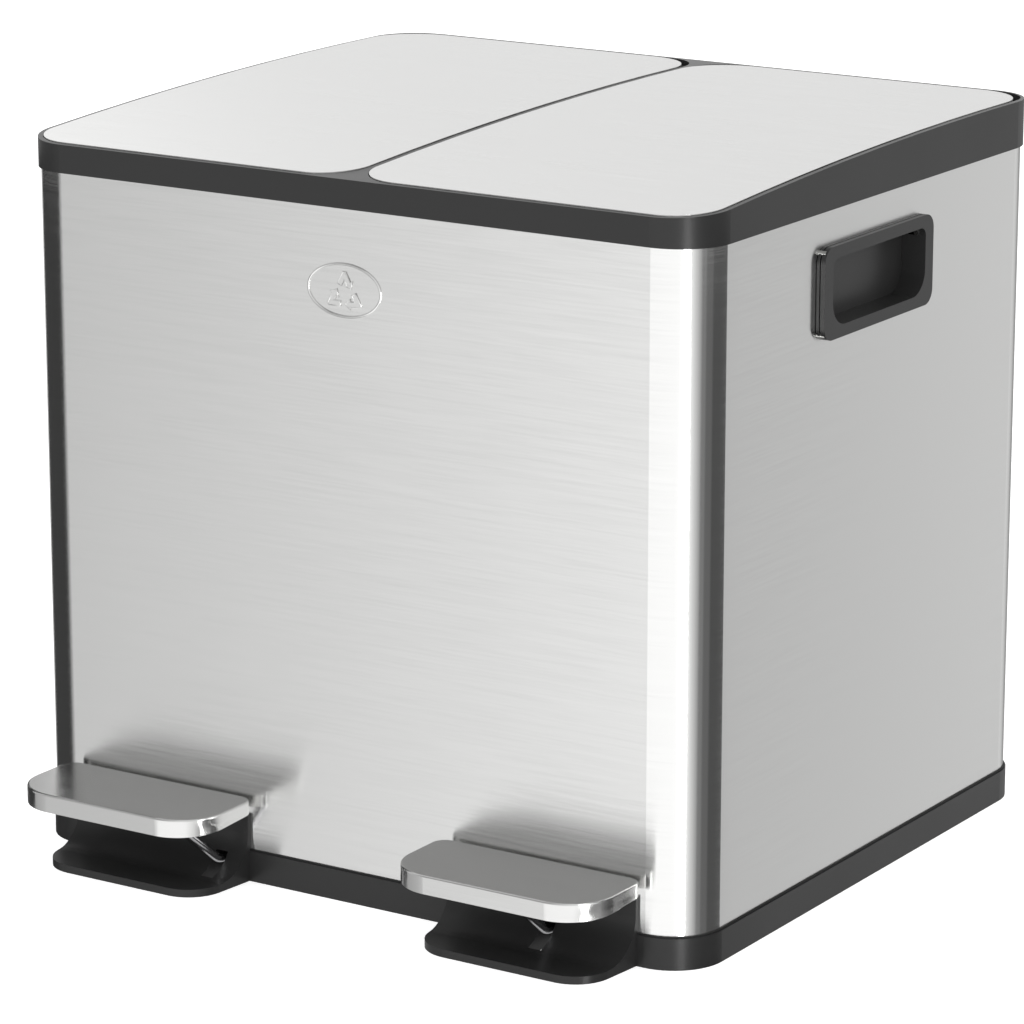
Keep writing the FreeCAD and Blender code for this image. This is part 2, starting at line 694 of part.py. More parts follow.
def lid(side):
    name = SIDE_NAMES[side]
    below = ledge_top - DEPTH
    above = arch_peak_height + 2 * OVERCUT
    span = (below, above)
    skin = cut(common(lid_outline(side, as_size(0), span), under_arch(SKIN_TOP)),
               under_arch(SKIN_TOP - s["skin_fold"]),
               common(lid_outline(side, s["skin_thickness"], span), under_arch(SKIN_UNDER)))
    keep(f"{name}_lid_skin", skin)

    plate = cut(common(lid_outline(side, s["tray_inset"], span), under_arch(SKIN_UNDER)),
                under_arch(TRAY_UNDER))
    rib_back = lid_back - (hinge_back - s["rib_back_gap"])
    ribs = cut(common(lid_outline(side, s["rib_inset"], span, rib_back),
                      under_arch(TRAY_UNDER + OVERLAP)),
               lid_outline(side, s["rib_inset"] + s["rib_thickness"], span,
                           rib_back + s["rib_thickness"]),
               under_arch(TRAY_UNDER - s["rib_depth"]))
    solids = [plate, ribs]
    notches = []
    bores = []
    for hand in (-1, 1):
        centre = lid_centre * side + hinge_offset * hand
        half = s["barrel_length"] / 2
        solids.append(rod("x", s["barrel_radius"],
                          (centre - half, hinge_back, hinge_height), s["barrel_length"]))
        solids.append(box((centre - half, centre + half),
                          (hinge_back - s["barrel_radius"], hinge_back + s["barrel_radius"]),
                          (hinge_height, hinge_height + s["barrel_radius"])))
        bores.append(bore("x", s["hinge_pin_diameter"] / 2 + s["hinge_play"],
                          (centre - half, hinge_back, hinge_height), s["barrel_length"]))
        notch_front = hinge_back - s["barrel_radius"] - s["ear_clearance"]
        for ear in (-1, 1):
            start = centre + half * ear
            end = start + (2 * s["side_play"] + s["hinge_ear"]) * ear
            notches.append(box((start, end), (notch_front, trim_y), span))
    lug_near = lever_x[side] + s["lug_offset"]
    lug_far = lug_near + s["lug_thickness"]
    hole = wire_radius + s["lug_play"]
    outer = hole + s["lug_wall"]
    solids.append(rod("x", outer, (lug_near, lug_back, lug_height), s["lug_thickness"]))
    solids.append(box((lug_near, lug_far), (lug_back - outer, lug_back + outer),
                      (lug_height, hinge_height + s["barrel_radius"])))
    bores.append(bore("x", hole, (lug_near, lug_back, lug_height), s["lug_thickness"]))
    whole = cut(common(fuse(*solids), under_arch(SKIN_UNDER)), *notches, *bores)
    keep(f"{name}_lid_tray", whole)


def hinge_pins(side):
    pins = []
    for hand in (-1, 1):
        centre = lid_centre * side + hinge_offset * hand
        half = s["barrel_length"] / 2 + s["side_play"] + s["hinge_ear"]
        pins.append(rod("x", s["hinge_pin_diameter"] / 2,
                        (centre - half, hinge_back, hinge_height), half * 2))
    keep(f"{SIDE_NAMES[side]}_hinge_pins", group(*pins))


def lid_bumpers():
    """Rubber buttons on the collar's front ledge, on which the lids come to rest."""
    buttons = []
    y = lid_front + s["aperture_margin"] / 2
    span = (ledge_top, arch_peak_height)
    for side in (-1, 1):
        for inset in (s["bumper_inset"], lid_far - lid_near - s["bumper_inset"]):
            x = (lid_near + inset) * side
            post = rod("z", s["bumper_radius"], (x, y, span[0]), span[1] - span[0])
            buttons.append(common(post, under_arch(TRAY_UNDER - s["side_play"])))
    keep("lid_bumpers", group(*buttons))


# ---------------------------------------------------------------- pedals


def pedal(side):
    name = SIDE_NAMES[side]
    centre = pedal_centre * side
    half = s["pad_width"] / 2
    far = front - s["pad_reach"]
    near = front - s["pad_gap"]
    wall = s["pad_wall"]
    bottom = pad_top - s["pad_front_skirt"]

    cap = new_body(f"{name}_pedal_pad")
    outline = sketch_on(cap, "XY_Plane", bottom)
    draw_rounded_rectangle(outline, (centre - half, centre + half), (far, near),
                           s["pad_front_corner"], s["pad_back_corner"])
    pad(cap, outline, s["pad_front_skirt"])
    fillet(cap, s["pad_round"], edge_at_height(pad_top))
    inside = sketch_on(cap, "XY_Plane", bottom)
    draw_rounded_rectangle(inside, (centre - half + wall, centre + half - wall),
                           (far + wall, near - wall), s["pad_front_corner"] - wall,
                           s["pad_back_corner"] - wall)
    pocket(cap, inside, s["pad_front_skirt"] - wall, upwards=True)
    wedge = sketch_on(cap, "YZ_Plane", centre)
    draw_polygon(wedge, [(far, bottom), (near, pad_top - s["pad_back_skirt"]),
                         (near + OVERCUT, bottom - OVERCUT), (far, bottom - OVERCUT)])
    pocket(cap, wedge, s["pad_width"] + 2 * OVERCUT, both_ways=True)

    core = new_body(f"{name}_pedal_core")
    inset = wall + s["core_play"]
    core_bottom = pad_top - wall - s["core_height"]
    sole = sketch_on(core, "XY_Plane", core_bottom)
    draw_rounded_rectangle(sole, (centre - half + inset, centre + half - inset),
                           (far + inset, front - s["core_back_gap"]),
                           s["pad_front_corner"] - inset, s["pad_back_corner"] - inset)
    pad(core, sole, s["core_height"])
    grooves = sketch_on(core, "XY_Plane", core_bottom)
    x = lever_x[side]
    slack = wire_radius + s["core_play"]
    end = x - s["grip_run"] - s["core_play"]
    grip_y = front - s["grip_reach"]
    grip_height = pad_top - s["grip_sink"]
    groove_back = front - s["core_back_gap"] + OVERCUT
    draw_polygon(grooves, [(end, grip_y - slack), (x + slack, grip_y - slack),
                           (x + slack, groove_back), (x - slack, groove_back),
                           (x - slack, grip_y + slack + s["grip_bend"]),
                           (x - slack - s["grip_bend"], grip_y + slack), (end, grip_y + slack)])
    pocket(core, grooves, grip_height + slack - core_bottom, upwards=True)

    elbow_y = front - s["elbow_reach"]
    wire = bent_wire([(x - s["grip_run"], grip_y, grip_height), (x, grip_y, grip_height),
                      (x, elbow_y, s["lever_height"]),
                      (x, rod_back + s["lever_overrun"], s["lever_height"])],
                     [s["grip_bend"], s["elbow_bend"]], s["wire_diameter"])
    sleeve_start = x - s["sleeve_length"] / 2
    sleeve = rod("x", s["sleeve_diameter"] / 2, (sleeve_start, pivot_back, pivot_height),
                 s["sleeve_length"])
    pin_bore = bore("x", s["pivot_pin_diameter"] / 2 + s["pivot_play"],
                    (sleeve_start, pivot_back, pivot_height), s["sleeve_length"])
    keep(f"{name}_pedal_lever", cut(fuse(wire, sleeve), pin_bore))

    ear_start = s["sleeve_length"] / 2 + s["side_play"]
    pin_half = ear_start + s["bracket_ear"] + s["pin_overhang"]
    keep(f"{name}_pivot_pin", rod("x", s["pivot_pin_diameter"] / 2,
                                  (x - pin_half, pivot_back, pivot_height), pin_half * 2))
    pivot_bracket(side, ear_start)


def pivot_bracket(side, ear_start):
    """Pressed foot with two ears that carry the lever's pivot pin."""
    x = lever_x[side]
    bracket = new_body(f"{SIDE_NAMES[side]}_pivot_bracket")
    plate = sketch_on(bracket, "XY_Plane", s["plinth_floor"])
    half = s["bracket_width"] / 2
    draw_rounded_rectangle(plate, (x - half, x + half),
                           (pivot_back - s["bracket_length"] / 2, pivot_back + s["bracket_length"] / 2),
                           s["bracket_corner"])
    pad(bracket, plate, s["bracket_plate"])
    ears = sketch_on(bracket, "XY_Plane", s["plinth_floor"])
    for hand in (-1, 1):
        near = x + ear_start * hand
        far = near + s["bracket_ear"] * hand
        xs = sorted((near, far), key=lambda end: end.value)
        low, high = pivot_back - s["ear_width"] / 2, pivot_back + s["ear_width"] / 2
        draw_polygon(ears, [(xs[0], low), (xs[1], low), (xs[1], high), (xs[0], high)])
    top = pivot_height + s["ear_width"] / 2
    pad(bracket, ears, top - s["plinth_floor"])
    fillet(bracket, s["ear_round"],
           lambda edge: all(abs(v.Z - top.value) < 1e-4 for v in edge.Vertexes)
           and abs(edge.tangentAt(edge.FirstParameter).x) > 0.9)
    holes = sketch_on(bracket, "YZ_Plane", x)
    draw_circle(holes, pivot_back, pivot_height, s["pivot_pin_diameter"] / 2)
    pocket(bracket, holes, s["bracket_width"], both_ways=True)
    screws = sketch_on(bracket, "XY_Plane", s["plinth_floor"])
    for screw_x, screw_y in bracket_screw_places[side]:
        draw_circle(screws, screw_x, screw_y, s["screw_radius"])
    pocket(bracket, screws, s["bracket_plate"], upwards=True)


# ---------------------------------------------------------------- push rods


def push_rod(side):
    name = SIDE_NAMES[side]
    x = lever_x[side]
    axle_z = s["lever_height"] + wire_radius + s["rod_gap"] + s["shoe_radius"]
    groove = s["wire_diameter"] + 2 * s["side_play"]
    cheek_start = x - groove / 2 - s["shoe_cheek"]
    wheel = rod("x", s["shoe_radius"], (cheek_start, rod_back, axle_z), groove + 2 * s["shoe_cheek"])
    cheeks = [rod("x", s["shoe_cheek_radius"], (start, rod_back, axle_z), s["shoe_cheek"])
              for start in (cheek_start, x + groove / 2)]
    boss = rod("z", s["shoe_boss_radius"], (x, rod_back, axle_z), s["shoe_boss_height"])
    seat = axle_z + s["shoe_radius"]
    socket = rod("z", wire_radius, (x, rod_back, seat), s["shoe_boss_height"])
    keep(f"{name}_rod_shoe", cut(fuse(wheel, *cheeks, boss), socket))
    end = x + s["rod_hook"]
    wire = bent_wire([(x, rod_back, seat), (x, rod_back, lug_height), (end, rod_back, lug_height)],
                     [s["rod_bend"]], s["wire_diameter"])
    keep(f"{name}_push_rod", wire)
    clip_start = (end - s["clip_thickness"] - s["clip_inset"], rod_back, lug_height)
    keep(f"{name}_rod_clip", cut(rod("x", s["clip_radius"], clip_start, s["clip_thickness"]),
                                 bore("x", wire_radius, clip_start, s["clip_thickness"])))


def rod_guide(side, level, height):
    """Foot welded to the back panel, with an arm and an eye that the push rod slides in."""
    x = lever_x[side]
    low = height - s["guide_length"] / 2
    eye = rod("z", s["guide_radius"], (x, rod_back, low), s["guide_length"])
    arm_half = s["guide_arm"] / 2
    arm = box((x - arm_half, x + arm_half), (rod_back + wire_radius, inner_back),
              (low, low + s["guide_length"]))
    half = s["guide_foot"] / 2
    foot = box((x - half, x + half), (inner_back - s["guide_foot_thickness"], inner_back),
               (height - half, height + half))
    rod_bore = bore("z", wire_radius + s["guide_play"], (x, rod_back, low), s["guide_length"])
    keep(f"{SIDE_NAMES[side]}_rod_guide_{level}", cut(fuse(eye, arm, foot), rod_bore))


# ---------------------------------------------------------------- buckets


def bucket_stand():
    inset = s["steel_wall"] + s["stand_inset"]
    plate = prism((inset - half_width, half_width - inset),
                  (inset - half_depth, aperture_back - s["stand_back_gap"]),
                  (s["stand_height"], stand_top), s["corner_radius"] - inset)
    holes = [bore("z", s["screw_radius"], (x, y, s["stand_height"]), s["stand_thickness"])
             for x, y in post_places]
    keep("bucket_stand", cut(plate, *holes))


def bucket(side):
    name = SIDE_NAMES[side]
    floor = stand_top
    wall = s["bucket_wall"]
    near, far = aperture_near + s["bucket_play"], aperture_far - s["bucket_play"]
    front_edge = aperture_front + s["bucket_play"]
    back_edge = aperture_back - s["bucket_back_play"]
    corner = s["bucket_corner"]

    def outline(sketch, inset):
        draw_rounded_rectangle(sketch, mirror_x(side, near + inset, far - inset),
                               (front_edge + inset, back_edge - inset), corner - inset / 2)

    tub = new_body(f"{name}_inner_bucket")
    sections = []
    for height, inset in ((floor, s["bucket_rim"] + s["bucket_taper"]), (bucket_top, s["bucket_rim"])):
        section = sketch_on(tub, "XY_Plane", height)
        outline(section, inset)
        sections.append(section)
    loft(tub, "PartDesign::AdditiveLoft", sections)
    rim = sketch_on(tub, "XY_Plane", bucket_top - s["rim_thickness"])
    outline(rim, as_size(0))
    pad(tub, rim, s["rim_thickness"])
    ears = sketch_on(tub, "XY_Plane", bucket_top - s["rim_thickness"])
    middle = (front_edge + back_edge) / 2
    ear_inset = (s["bucket_rim"] + wall - s["bail_ear"]) / 2
    for edge, hand in ((near, 1), (far, -1)):
        start = edge + ear_inset * hand
        xs = sorted(mirror_x(side, start, start + s["bail_ear"] * hand), key=lambda end: end.value)
        low, high = middle - s["bail_ear"], middle + s["bail_ear"]
        draw_polygon(ears, [(xs[0], low), (xs[1], low), (xs[1], high), (xs[0], high)])
    pad(tub, ears, s["rim_thickness"] + s["bail_ear_height"])
    inner_sections = []
    for height, inset in ((floor + wall, s["bucket_rim"] + s["bucket_taper"] + wall),
                          (bucket_top + 0.01, s["bucket_rim"] + wall)):
        section = sketch_on(tub, "XY_Plane", height)
        outline(section, inset)
        inner_sections.append(section)
    loft(tub, "PartDesign::SubtractiveLoft", inner_sections)
    bail_z = bucket_top + s["bail_clearance"] + s["bail_diameter"] / 2
    holes = sketch_on(tub, "YZ_Plane", lid_centre * side)
    draw_circle(holes, middle, bail_z, s["bail_diameter"] / 2 + s["guide_play"])
    pocket(tub, holes, s["body_width"], both_ways=True)

    arm = s["bail_inset"]
    cross_y = front_edge + s["bail_front_inset"]
    ends = [(near + ear_inset - 0.5) * side, (near + arm) * side, (far - arm) * side,
            (far - ear_inset + 0.5) * side]
    points = [(ends[0], middle, bail_z), (ends[1], middle, bail_z), (ends[1], cross_y, bail_z),
              (ends[2], cross_y, bail_z), (ends[2], middle, bail_z), (ends[3], middle, bail_z)]
    bends = [s["bail_bend"], s["bail_corner"], s["bail_corner"], s["bail_bend"]]
    keep(f"{name}_bucket_bail", bent_wire(points, bends, s["bail_diameter"]))
    grip_start = (lid_centre * side - s["grip_length"] / 2, cross_y, bail_z)
    keep(f"{name}_bail_grip", cut(rod("x", s["grip_radius"], grip_start, s["grip_length"]),
                                  bore("x", s["bail_diameter"] / 2, grip_start, s["grip_length"])))


# ---------------------------------------------------------------- carrying handles

handle_y = -s["handle_forward"]
pocket_outer_x = s["pocket_width"] / 2 + s["pocket_wall"]
pocket_outer_z = s["pocket_height"] / 2 + s["pocket_wall"]
handle_screw_y = s["handle_width"] / 2 - s["handle_screw_inset"]
handle_screw_z = s["handle_height"] / 2 - s["handle_screw_drop"]


def handle_block(side, half_y, half_z, low_corner, top_corner=None, x_range=None):
    """A block through the side panel, rounded in the side view."""
    x_range = x_range or (half_width - DEPTH, half_width + DEPTH)
    xs = sorted(mirror_x(side, *x_range), key=lambda end: end.value)
    outline = doc.addObject("Sketcher::SketchObject", "SideOutline")
    draw_rounded_rectangle(outline, (handle_y - half_y, handle_y + half_y),
                           (handle_centre - half_z, handle_centre + half_z),
                           low_corner, top_corner or low_corner)
    outline.Placement = Placement(Vector(), Rotation(Vector(1, 1, 1), 120))
    outline.setExpression("Placement.Base.x", xs[0].text)
    block = doc.addObject("Part::Extrusion", "SideBlock")
    block.Base = outline
    block.DirMode = "Custom"
    block.Dir = Vector(1, 0, 0)
    block.Solid = True
    block.setExpression("LengthFwd", (xs[1] - xs[0]).text)
    return block


def handle_screw_rods(side, radius, inner=DEPTH, outer=DEPTH):
    rods = []
    for y in (-1, 1):
        for z in (-1, 1):
            xs = mirror_x(side, half_width - inner, half_width + outer)
            low = min(xs, key=lambda end: end.value)
            rods.append(rod("x", radius, (low, handle_y + handle_screw_y * y,
                                          handle_centre + handle_screw_z * z),
                            inner + as_size(outer)))
    return rods


def handle(side):
    name = SIDE_NAMES[side]
    half_y, half_z = s["handle_width"] / 2, s["handle_height"] / 2
    face = half_width + s["handle_proud"]
    bezel_back = face - s["bezel_thickness"]
    groove = s["groove_depth"]
    corner = s["handle_corner"]
    low, top = s["pocket_low_corner"], s["pocket_top_corner"]
    wall = s["pocket_wall"]
    floor = face - s["pocket_depth"]
    cup = fuse(
        handle_block(side, half_y, half_z, corner, x_range=(bezel_back, face)),
        handle_block(side, half_y - groove, half_z - groove, corner - groove,
                     x_range=(half_width, face - OVERLAP)),
        handle_block(side, half_y, half_z, corner, x_range=(half_width, half_width + s["back_flange"])),
        handle_block(side, pocket_outer_x - s["trim_gap"], pocket_outer_z - s["trim_gap"], low,
                     x_range=(floor - wall, half_width + OVERLAP)))
    cavity = handle_block(side, s["pocket_width"] / 2, s["pocket_height"] / 2, low, top,
                          x_range=(floor, face + OVERCUT))
    keep(f"{name}_handle_cup",
         cut(cup, cavity, *handle_screw_rods(side, s["screw_radius"], outer=s["screw_grip"])))
    inner_face = half_width - s["steel_wall"]
    frame_x = (inner_face - s["clamp_thickness"], inner_face)
    margin = s["clamp_margin"]
    frame = handle_block(side, half_y + margin / 2, half_z + margin / 2, corner, x_range=frame_x)
    keep(f"{name}_handle_clamp",
         cut(frame, handle_block(side, pocket_outer_x, pocket_outer_z, low),
             *handle_screw_rods(side, s["screw_radius"])))


def handle_screws():
    screws = []
    head_face = half_width - s["steel_wall"] - s["clamp_thickness"]
    tip = half_width + s["screw_grip"]
    for side in (-1, 1):
        for y in (-1, 1):
            for z in (-1, 1):
                place_y = handle_y + handle_screw_y * y
                place_z = handle_centre + handle_screw_z * z
                head = mirror_x(side, head_face - s["screw_head_height"], head_face)
                shank = mirror_x(side, head_face, tip)
                head_start = min(head, key=lambda end: end.value)
                shank_start = min(shank, key=lambda end: end.value)
                screws.append(screw("x", (head_start, place_y, place_z),
                                    (shank_start, place_y, place_z), tip - head_face))
    keep("handle_screws", group(*screws))


def base_screws():
    """Screws that hold the pivot brackets, and those that hold the bucket stand."""
    bracket_set = []
    head_z = s["plinth_floor"] + s["bracket_plate"]
    length = head_z - 0.3
    for side in (-1, 1):
        for x, y in bracket_screw_places[side]:
            bracket_set.append(screw("z", (x, y, head_z), (x, y, head_z - length), length))
    keep("bracket_screws", group(*bracket_set))
    stand_set = []
    for x, y in post_places:
        stand_set.append(screw("z", (x, y, stand_top), (x, y, stand_top - s["floor_screw_length"]),
                               s["floor_screw_length"]))
    keep("stand_screws", group(*stand_set))


# ---------------------------------------------------------------- the whole bin

steel_box()
plinth()
collar()
bucket_stand()
lid_bumpers()
for side in (-1, 1):
    lid(side)
    hinge_pins(side)
    pedal(side)
    push_rod(side)
    rod_guide(side, "low", s["guide_low"])
    rod_guide(side, "high", s["collar_seam"] - s["guide_drop"])
    bucket(side)
    handle(side)
handle_screws()
base_screws()
doc.recompute()

for thing in doc.Objects:
    if "Invalid" in thing.State or "Error" in thing.State:
        raise RuntimeError(f"{thing.Name} failed to build")
for label, thing in nodes.items():
    shape = thing.Shape
    if shape.isNull() or not shape.isValid() or not shape.Solids:
        raise RuntimeError(f"{label} has no valid shape")
    print(f"{label}: {len(shape.Solids)} solid(s), {shape.Volume / 1000:.2f} cm3")
for label, thing in nodes.items():
    thing.Shape.exportStep(f"parts/{label}.step")
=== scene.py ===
import math
import bmesh
import bpy
from mathutils import Euler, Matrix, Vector


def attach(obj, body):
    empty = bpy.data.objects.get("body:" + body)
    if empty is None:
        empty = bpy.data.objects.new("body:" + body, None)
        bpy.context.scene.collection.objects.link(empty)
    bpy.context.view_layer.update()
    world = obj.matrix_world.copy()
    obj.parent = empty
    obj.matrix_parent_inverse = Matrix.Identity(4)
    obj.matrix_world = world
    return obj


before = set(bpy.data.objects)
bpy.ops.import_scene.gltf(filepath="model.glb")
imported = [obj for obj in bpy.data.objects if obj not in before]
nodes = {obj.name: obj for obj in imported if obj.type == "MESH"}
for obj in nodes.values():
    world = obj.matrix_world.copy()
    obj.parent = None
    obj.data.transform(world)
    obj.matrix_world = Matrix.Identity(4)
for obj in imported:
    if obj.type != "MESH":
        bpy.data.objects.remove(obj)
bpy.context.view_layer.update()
scene = bpy.context.scene
print("frame loaded:", len(nodes), "nodes")


# an sRGB hex colour as the linear values that the shaders take
def toLinear(hexColour):
    channels = [int(hexColour[i:i + 2], 16) / 255 for i in (1, 3, 5)]
    return tuple(c / 12.92 if c <= 0.04045 else ((c + 0.055) / 1.055) ** 2.4 for c in channels) + (1.0,)


# adds one shader node with its settings, socket values and links
def addNode(tree, kind, settings=None, values=None, links=None):
    node = tree.nodes.new(kind)
    for name, value in (settings or {}).items():
        setattr(node, name, value)
    for name, value in (values or {}).items():
        node.inputs[name].default_value = value
    for name, source in (links or {}).items():
        tree.links.new(source, node.inputs[name])
    return node


def startMaterial(name):
    material = bpy.data.materials.new(name)
    material.use_nodes = True
    material.node_tree.nodes.clear()
    return material, material.node_tree


# puts a material on CAD nodes
def dress(names, material):
    for name in names:
        for slot in nodes[name].material_slots:
            slot.material = material


# brushed stainless steel: fine lines from the abrasive belt, which stretch every reflection across them
steel = {
    "colour": "#E2E2E1",
    "roughness": 0.19,
    "glossSpread": (0.7, 1.35),  # smoothest and roughest line, as shares of the roughness
    "anisotropy": 0.9,
    "lineSpacing": 0.0011,  # real lines are about 0.1 mm apart, drawn coarser so that they show
    "lineLength": 0.055,
    "lineDepth": 0.000004,
    "lineStrength": 0.35,
    "lineContrast": 0.035,  # how much darker the deepest lines are
}


# the lines run along the given axes, and the gloss is stretched by the turn about the radial axis
def brushedStainless(name, along, colour, roughness, radialAxis, turn, contrast=steel["lineContrast"]):
    material, tree = startMaterial(name)
    place = addNode(tree, "ShaderNodeTexCoord")
    fine = 1 / steel["lineSpacing"]
    coarse = 1 / steel["lineLength"]
    scale = [coarse if axis in along else fine for axis in "XYZ"]
    stretched = addNode(tree, "ShaderNodeMapping", values={"Scale": scale},
                        links={"Vector": place.outputs["Object"]})
    lines = addNode(tree, "ShaderNodeTexNoise", values={"Scale": 1.0, "Detail": 4.0, "Roughness": 0.65},
                    links={"Vector": stretched.outputs["Vector"]})
    dark = tuple(c * (1 - contrast) for c in toLinear(colour)[:3]) + (1.0,)
    tint = addNode(tree, "ShaderNodeMix", {"data_type": "RGBA"},
                   {"A": dark, "B": toLinear(colour)}, {"Factor": lines.outputs["Fac"]})
    smoothest, roughest = (roughness * share for share in steel["glossSpread"])
    # noise mostly stays in its middle half, which is spread over the whole range
    gloss = addNode(tree, "ShaderNodeMapRange",
                    values={"From Min": 0.25, "From Max": 0.75, "To Min": smoothest, "To Max": roughest},
                    links={"Value": lines.outputs["Fac"]})
    relief = addNode(tree, "ShaderNodeBump",
                     values={"Strength": steel["lineStrength"], "Distance": steel["lineDepth"]},
                     links={"Height": lines.outputs["Fac"]})
    grainWay = addNode(tree, "ShaderNodeTangent", {"direction_type": "RADIAL", "axis": radialAxis})
    shader = addNode(tree, "ShaderNodeBsdfPrincipled",
                     values={"Metallic": 1.0, "Anisotropic": steel["anisotropy"],
                             "Anisotropic Rotation": turn},
                     links={"Base Color": tint.outputs["Result"], "Roughness": gloss.outputs["Result"],
                            "Normal": relief.outputs["Normal"], "Tangent": grainWay.outputs["Tangent"]})
    addNode(tree, "ShaderNodeOutputMaterial", links={"Surface": shader.outputs["BSDF"]})
    return material


# moulded plastics: a fine spark-eroded grain breaks up the gloss, and faint clouds keep wide faces alive
plastic = {
    "ior": 1.5,  # ABS is about 1.53, polypropylene 1.49
    "grain": 0.0009,  # real grain is about 0.1 mm, drawn coarser so that it shows
    "grainDepth": 0.00002,
    "grainStrength": 0.5,
    "cloudsPerMetre": 14.0,
    "cloudContrast": 0.12,
    "glossSpread": (-0.04, 0.05),  # added to the roughness in the glossiest and dullest clouds
}


def mouldedPlastic(name, colour, roughness, grain=plastic["grain"], gloss=0.5):
    material, tree = startMaterial(name)
    place = addNode(tree, "ShaderNodeTexCoord")
    pits = addNode(tree, "ShaderNodeTexNoise", values={"Scale": 1 / grain, "Detail": 2.0},
                   links={"Vector": place.outputs["Object"]})
    clouds = addNode(tree, "ShaderNodeTexNoise", values={"Scale": plastic["cloudsPerMetre"], "Detail": 3.0},
                     links={"Vector": place.outputs["Object"]})
    low = tuple(c * (1 - plastic["cloudContrast"]) for c in toLinear(colour)[:3]) + (1.0,)
    tint = addNode(tree, "ShaderNodeMix", {"data_type": "RGBA"}, {"A": low, "B": toLinear(colour)},
                   {"Factor": clouds.outputs["Fac"]})
    glossiest, dullest = (roughness + change for change in plastic["glossSpread"])
    wear = addNode(tree, "ShaderNodeMapRange",
                   values={"From Min": 0.3, "From Max": 0.7, "To Min": glossiest, "To Max": dullest},
                   links={"Value": clouds.outputs["Fac"]})
    relief = addNode(tree, "ShaderNodeBump",
                     values={"Strength": plastic["grainStrength"], "Distance": plastic["grainDepth"]},
                     links={"Height": pits.outputs["Fac"]})
    shader = addNode(tree, "ShaderNodeBsdfPrincipled",
                     values={"IOR": plastic["ior"], "Specular IOR Level": gloss},
                     links={"Base Color": tint.outputs["Result"], "Roughness": wear.outputs["Result"],
                            "Normal": relief.outputs["Normal"]})
    addNode(tree, "ShaderNodeOutputMaterial", links={"Surface": shader.outputs["BSDF"]})
    return material


# plated and polished metals: small parts with the faint ripple that a plating bath or a buffing wheel leaves
plating = {
    "ripple": 0.004,
    "rippleDepth": 0.00002,
    "rippleStrength": 0.2,
    "rippleContrast": 0.07,
    "glossSpread": (0.7, 1.3),
}


def platedMetal(name, colour, roughness, depth=plating["rippleDepth"]):
    material, tree = startMaterial(name)
    place = addNode(tree, "ShaderNodeTexCoord")
    waves = addNode(tree, "ShaderNodeTexNoise", values={"Scale": 1 / plating["ripple"], "Detail": 3.0},
                    links={"Vector": place.outputs["Object"]})
    low = tuple(c * (1 - plating["rippleContrast"]) for c in toLinear(colour)[:3]) + (1.0,)
    tint = addNode(tree, "ShaderNodeMix", {"data_type": "RGBA"}, {"A": low, "B": toLinear(colour)},
                   {"Factor": waves.outputs["Fac"]})
    smoothest, roughest = (roughness * share for share in plating["glossSpread"])
    gloss = addNode(tree, "ShaderNodeMapRange", values={"To Min": smoothest, "To Max": roughest},
                    links={"Value": waves.outputs["Fac"]})
    relief = addNode(tree, "ShaderNodeBump",
                     values={"Strength": plating["rippleStrength"], "Distance": depth},
                     links={"Height": waves.outputs["Fac"]})
    shader = addNode(tree, "ShaderNodeBsdfPrincipled", values={"Metallic": 1.0},
                     links={"Base Color": tint.outputs["Result"], "Roughness": gloss.outputs["Result"],
                            "Normal": relief.outputs["Normal"]})
    addNode(tree, "ShaderNodeOutputMaterial", links={"Surface": shader.outputs["BSDF"]})
    return material


finishes = {
    # the lines run round the box, and across the lids and pedals
    "box": brushedStainless("brushedStainlessBox", "XY", steel["colour"], steel["roughness"], "Z", 0.25),
    "lid": brushedStainless("brushedStainlessLid", "X", "#E4E4E3", 0.22, "X", 0.0),
    "pedal": brushedStainless("brushedStainlessPedal", "X", "#D8D8D7", 0.19, "X", 0.0, contrast=0.02),
    # pressed lines, rubbed brighter than the sheet
    "burnished": platedMetal("burnishedStainlessMark", "#E2E2E1", 0.1),
    # satin trim: dark on its faces, with a soft glint on its rounded corners
    "charcoal": mouldedPlastic("mouldedAbsCharcoal", "#373737", 0.32, gloss=0.27),
    # inside parts: darker and duller than the trim, and the buckets a little lighter with a coarser grain
    "inner": mouldedPlastic("mouldedPolypropyleneBlack", "#1E1E1E", 0.5),
    "bucket": mouldedPlastic("mouldedPolypropyleneGrey", "#38393B", 0.48, grain=0.0012),
    # bright wire, paler pressed steel, and screws that are a shade darker
    "chrome": platedMetal("chromePlatedWire", "#E6E6E8", 0.2),
    "zinc": platedMetal("zincPlatedSteel", "#B4B4B0", 0.32, depth=0.00004),
    "screw": platedMetal("zincPlatedScrew", "#A4A4A2", 0.28),
    # nearly no gloss
    "rubber": mouldedPlastic("nitrileRubber", "#161616", 0.7),
}

dress(["body_shell"], finishes["box"])
dress(["base_plinth", "top_collar"], finishes["charcoal"])
dress(["bucket_stand"], finishes["inner"])
dress(["lid_bumpers"], finishes["rubber"])
dress(["handle_screws", "bracket_screws", "stand_screws"], finishes["screw"])
for side in ("left", "right"):
    dress([side + "_lid_skin"], finishes["lid"])
    dress([side + "_pedal_pad"], finishes["pedal"])
    dress([side + end for end in ("_lid_tray", "_pedal_core", "_handle_cup")], finishes["charcoal"])
    dress([side + end for end in ("_rod_shoe", "_rod_guide_low", "_rod_guide_high", "_bail_grip")],
          finishes["inner"])
    dress([side + "_inner_bucket"], finishes["bucket"])
    dress([side + end for end in ("_hinge_pins", "_pedal_lever", "_pivot_pin", "_push_rod", "_bucket_bail")],
          finishes["chrome"])
    dress([side + end for end in ("_pivot_bracket", "_handle_clamp")], finishes["zinc"])
    dress([side + "_rod_clip"], finishes["screw"])
print("materials done")


